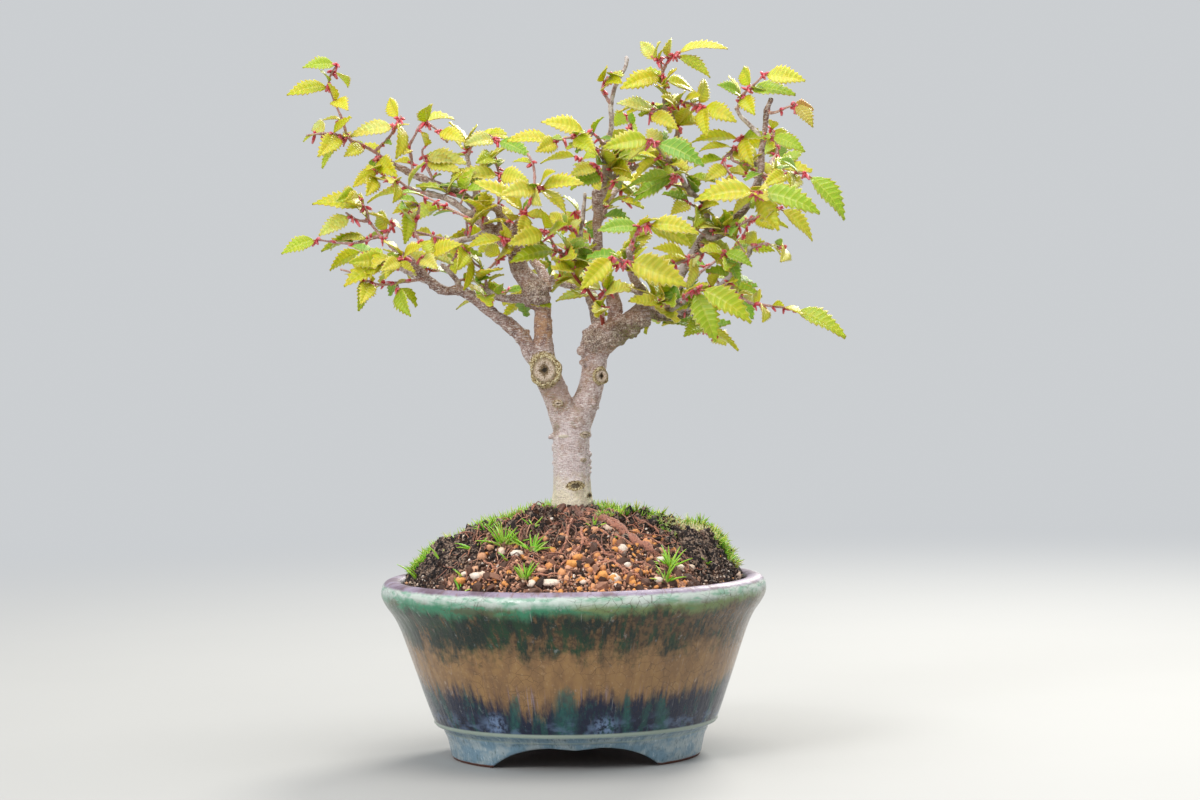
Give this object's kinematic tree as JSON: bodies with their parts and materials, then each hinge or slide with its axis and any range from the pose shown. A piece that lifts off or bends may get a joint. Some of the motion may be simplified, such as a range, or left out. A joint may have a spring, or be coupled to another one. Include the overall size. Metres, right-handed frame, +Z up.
{
  "type": "bonsai tree in pot",
  "caption": "Deciduous bonsai with a forked trunk, wiry branches and serrate leaves, standing in a mound of soil in a round glazed pot on cut-out feet.",
  "frame": {"origin": "on the table under the middle of the pot", "axes": "+Z up along the trunk, -Y towards the front of the tree, +X to the right seen from the front"},
  "size_m": [0.1593, 0.111, 0.2046],
  "materials": {
    "glaze": "gloss",
    "mesh": "matte",
    "soil": "matte",
    "moss": "matte",
    "grass": "satin",
    "bark": "matte",
    "leaf": "satin"
  },
  "bodies": {
    "root": {"drain_mesh": "mesh", "grass_front": "grass", "grass_left": "grass", "grass_right": "grass", "leaves_back_left": "leaf", "leaves_back_left_inner": "leaf", "leaves_back_low": "leaf", "leaves_back_mid": "leaf", "leaves_back_mid_inner": "leaf", "leaves_back_mid_left": "leaf", "leaves_back_right": "leaf", "leaves_back_top": "leaf", "leaves_back_up_left": "leaf", "leaves_collar_tip": "leaf", "leaves_fore_low": "leaf", "leaves_fore_mid": "leaf", "leaves_fore_top": "leaf", "leaves_fore_twig_tip": "leaf", "leaves_inner_end": "leaf", "leaves_left_spur": "leaf", "leaves_left_tip_low": "leaf", "leaves_left_top": "leaf", "leaves_low_left_back": "leaf", "leaves_low_left_end": "leaf", "leaves_low_left_mid": "leaf", "leaves_low_left_out": "leaf", "leaves_low_right_drop": "leaf", "leaves_low_right_in": "leaf", "leaves_low_right_tip": "leaf", "leaves_low_right_up": "leaf", "leaves_mid_left_rise": "leaf", "leaves_right_back": "leaf", "leaves_right_fore": "leaf", "leaves_right_fore_low": "leaf", "leaves_right_fork_tip": "leaf", "leaves_right_in": "leaf", "leaves_right_mid": "leaf", "leaves_right_out": "leaf", "leaves_right_red": "leaf", "leaves_right_spur": "leaf", "leaves_right_top": "leaf", "leaves_right_up_side": "leaf", "leaves_riser_left": "leaf", "leaves_riser_left_top": "leaf", "leaves_riser_side_tip": "leaf", "leaves_star": "leaf", "leaves_thin_tip": "leaf", "leaves_top": "leaf", "leaves_top_left": "leaf", "leaves_top_low": "leaf", "leaves_trunk_shoot": "leaf", "leaves_twig_a": "leaf", "leaves_twig_b": "leaf", "leaves_upper_back_tip": "leaf", "moss_left": "moss", "moss_right": "moss", "pot": "glaze", "soil": "soil", "wood": "bark"}
  },
  "joints": []
}
